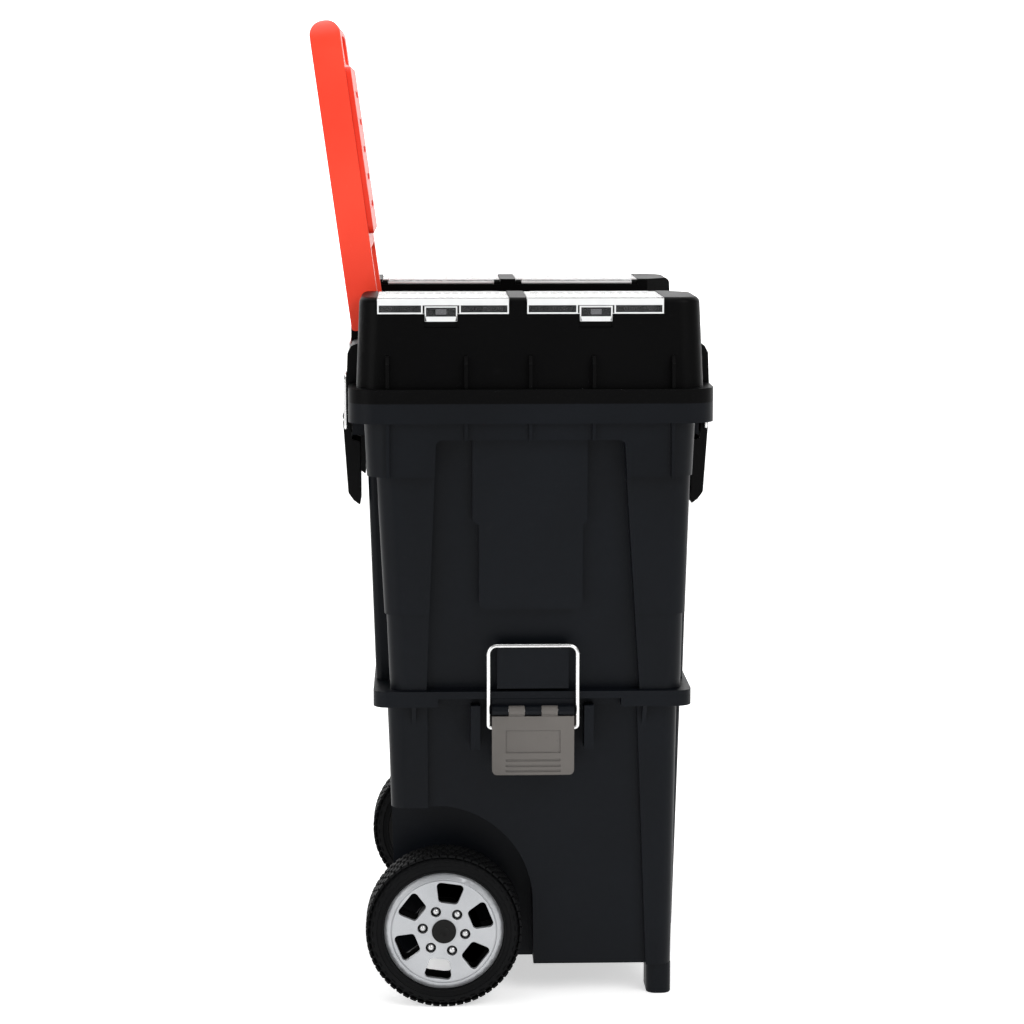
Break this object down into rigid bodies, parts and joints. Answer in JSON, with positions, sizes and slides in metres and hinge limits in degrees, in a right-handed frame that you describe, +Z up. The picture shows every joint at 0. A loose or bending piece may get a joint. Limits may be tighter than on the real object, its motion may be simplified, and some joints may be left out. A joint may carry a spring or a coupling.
{
  "type": "rolling tool chest",
  "caption": "Upright rolling tool chest: latched upper box over a deep bin, large wheels, fold-down pull handle, and a lid with clear hinged organiser covers.",
  "frame": {"origin": "bottom centre of the whole chest's box, on the floor", "axes": "+Z up, X along the long side, front towards -Y, wheels and pull handle towards +Y"},
  "size_m": [0.46, 0.3811, 0.9386],
  "materials": {
    "body_plastic": "moulded, fine spark texture",
    "lid_plastic": "moulded, fine spark texture",
    "latch_black": "satin",
    "lever_grey": "satin",
    "wire_steel": "bright zinc",
    "steel": "zinc plated",
    "tyre": "moulded tread",
    "hub_plastic": "satin",
    "cap_silver": "silver paint",
    "clear_plastic": "clear",
    "handle_red": "satin gloss"
  },
  "bodies": {
    "root": {"lower_bin": "body_plastic", "front_feet": "body_plastic", "wheel_axles": "steel", "axle_washers": "steel", "axle_push_nuts": "steel", "side_latch_pins": "steel"},
    "left_wheel": {"left_tyre": "tyre", "left_wheel_hub": "hub_plastic", "left_hub_cap": "cap_silver", "left_cap_screws": "steel", "left_centre_cap": "hub_plastic"},
    "right_wheel": {"right_tyre": "tyre", "right_wheel_hub": "hub_plastic", "right_hub_cap": "cap_silver", "right_cap_screws": "steel", "right_centre_cap": "hub_plastic"},
    "upper_box": {"upper_box": "body_plastic", "lid_latch_pins": "steel"},
    "lid": {"lid": "lid_plastic", "cover_pins": "steel", "lid_catches": "latch_black", "handle_bracket": "lid_plastic", "bracket_screws": "steel", "handle_pins": "steel"},
    "handle": {"pull_handle": "handle_red", "handle_plate": "handle_red"},
    "left_front_cover": {"left_front_cover": "clear_plastic"},
    "left_rear_cover": {"left_rear_cover": "clear_plastic"},
    "right_front_cover": {"right_front_cover": "clear_plastic"},
    "right_rear_cover": {"right_rear_cover": "clear_plastic"},
    "left_latch_lever": {"left_latch_lever": "lever_grey"},
    "left_latch_bail": {"left_latch_bail": "wire_steel"},
    "right_latch_lever": {"right_latch_lever": "lever_grey"},
    "right_latch_bail": {"right_latch_bail": "wire_steel"},
    "front_left_lid_lever": {"front_left_lid_lever": "latch_black"},
    "front_left_lid_bail": {"front_left_lid_bail": "wire_steel"},
    "front_right_lid_lever": {"front_right_lid_lever": "latch_black"},
    "front_right_lid_bail": {"front_right_lid_bail": "wire_steel"},
    "rear_left_lid_lever": {"rear_left_lid_lever": "latch_black"},
    "rear_left_lid_bail": {"rear_left_lid_bail": "wire_steel"},
    "rear_right_lid_lever": {"rear_right_lid_lever": "latch_black"},
    "rear_right_lid_bail": {"rear_right_lid_bail": "wire_steel"}
  },
  "joints": [
    {"name": "left_wheel_spin", "type": "hinge", "parent": "root", "child": "left_wheel", "pos_m": [-0.195, 0.06565, 0.075], "axis": [1, 0, 0], "continuous": true},
    {"name": "right_wheel_spin", "type": "hinge", "parent": "root", "child": "right_wheel", "pos_m": [0.195, 0.06565, 0.075], "axis": [1, 0, 0], "continuous": true},
    {"name": "upper_box_lift", "type": "slide", "parent": "root", "child": "upper_box", "axis": [0, 0, 1], "range_m": [0, 0.15]},
    {"name": "lid_open", "type": "hinge", "parent": "upper_box", "child": "lid", "pos_m": [0, 0.15705, 0.603], "axis": [-1, 0, 0], "range_deg": [0, 100]},
    {"name": "handle_fold", "type": "hinge", "parent": "lid", "child": "handle", "pos_m": [0, 0.13945, 0.657], "axis": [1, 0, 0], "range_deg": [0, 97.75]},
    {"name": "left_front_cover_open", "type": "hinge", "parent": "lid", "child": "left_front_cover", "pos_m": [-0.1115, -0.07705, 0.676], "axis": [0, 1, 0], "range_deg": [0, 95]},
    {"name": "left_rear_cover_open", "type": "hinge", "parent": "lid", "child": "left_rear_cover", "pos_m": [-0.1115, 0.06445, 0.676], "axis": [0, 1, 0], "range_deg": [0, 95]},
    {"name": "right_front_cover_open", "type": "hinge", "parent": "lid", "child": "right_front_cover", "pos_m": [0.1115, -0.07705, 0.676], "axis": [0, -1, 0], "range_deg": [0, 95]},
    {"name": "right_rear_cover_open", "type": "hinge", "parent": "lid", "child": "right_rear_cover", "pos_m": [0.1115, 0.06445, 0.676], "axis": [0, -1, 0], "range_deg": [0, 95]},
    {"name": "left_latch_open", "type": "hinge", "parent": "root", "child": "left_latch_lever", "pos_m": [-0.211, -0.01955, 0.289], "axis": [0, 1, 0], "range_deg": [0, 110]},
    {"name": "left_latch_bail_swing", "type": "hinge", "parent": "left_latch_lever", "child": "left_latch_bail", "pos_m": [-0.2095, -0.01955, 0.272], "axis": [0, 1, 0], "range_deg": [-110, 0]},
    {"name": "right_latch_open", "type": "hinge", "parent": "root", "child": "right_latch_lever", "pos_m": [0.211, -0.01955, 0.289], "axis": [0, -1, 0], "range_deg": [0, 110]},
    {"name": "right_latch_bail_swing", "type": "hinge", "parent": "right_latch_lever", "child": "right_latch_bail", "pos_m": [0.2095, -0.01955, 0.272], "axis": [0, -1, 0], "range_deg": [-110, 0]},
    {"name": "front_left_lid_latch_open", "type": "hinge", "parent": "upper_box", "child": "front_left_lid_lever", "pos_m": [-0.12, -0.18605, 0.563], "axis": [-1, 0, 0], "range_deg": [0, 110]},
    {"name": "front_left_lid_latch_bail_swing", "type": "hinge", "parent": "front_left_lid_lever", "child": "front_left_lid_bail", "pos_m": [-0.12, -0.18715, 0.552], "axis": [-1, 0, 0], "range_deg": [-110, 0]},
    {"name": "front_right_lid_latch_open", "type": "hinge", "parent": "upper_box", "child": "front_right_lid_lever", "pos_m": [0.12, -0.18605, 0.563], "axis": [-1, 0, 0], "range_deg": [0, 110]},
    {"name": "front_right_lid_latch_bail_swing", "type": "hinge", "parent": "front_right_lid_lever", "child": "front_right_lid_bail", "pos_m": [0.12, -0.18715, 0.552], "axis": [-1, 0, 0], "range_deg": [-110, 0]},
    {"name": "rear_left_lid_latch_open", "type": "hinge", "parent": "upper_box", "child": "rear_left_lid_lever", "pos_m": [-0.12, 0.15595, 0.563], "axis": [-1, 0, 0], "range_deg": [-110, 0]},
    {"name": "rear_left_lid_latch_bail_swing", "type": "hinge", "parent": "rear_left_lid_lever", "child": "rear_left_lid_bail", "pos_m": [-0.12, 0.15705, 0.552], "axis": [-1, 0, 0], "range_deg": [0, 110]},
    {"name": "rear_right_lid_latch_open", "type": "hinge", "parent": "upper_box", "child": "rear_right_lid_lever", "pos_m": [0.12, 0.15595, 0.563], "axis": [-1, 0, 0], "range_deg": [-110, 0]},
    {"name": "rear_right_lid_latch_bail_swing", "type": "hinge", "parent": "rear_right_lid_lever", "child": "rear_right_lid_bail", "pos_m": [0.12, 0.15705, 0.552], "axis": [-1, 0, 0], "range_deg": [0, 110]}
  ],
  "couplings": [
    {"joint": "left_latch_bail_swing", "follows": "left_latch_open", "ratio": -1},
    {"joint": "right_latch_bail_swing", "follows": "right_latch_open", "ratio": -1},
    {"joint": "front_left_lid_latch_bail_swing", "follows": "front_left_lid_latch_open", "ratio": -1},
    {"joint": "front_right_lid_latch_bail_swing", "follows": "front_right_lid_latch_open", "ratio": -1},
    {"joint": "rear_left_lid_latch_bail_swing", "follows": "rear_left_lid_latch_open", "ratio": -1},
    {"joint": "rear_right_lid_latch_bail_swing", "follows": "rear_right_lid_latch_open", "ratio": -1}
  ]
}
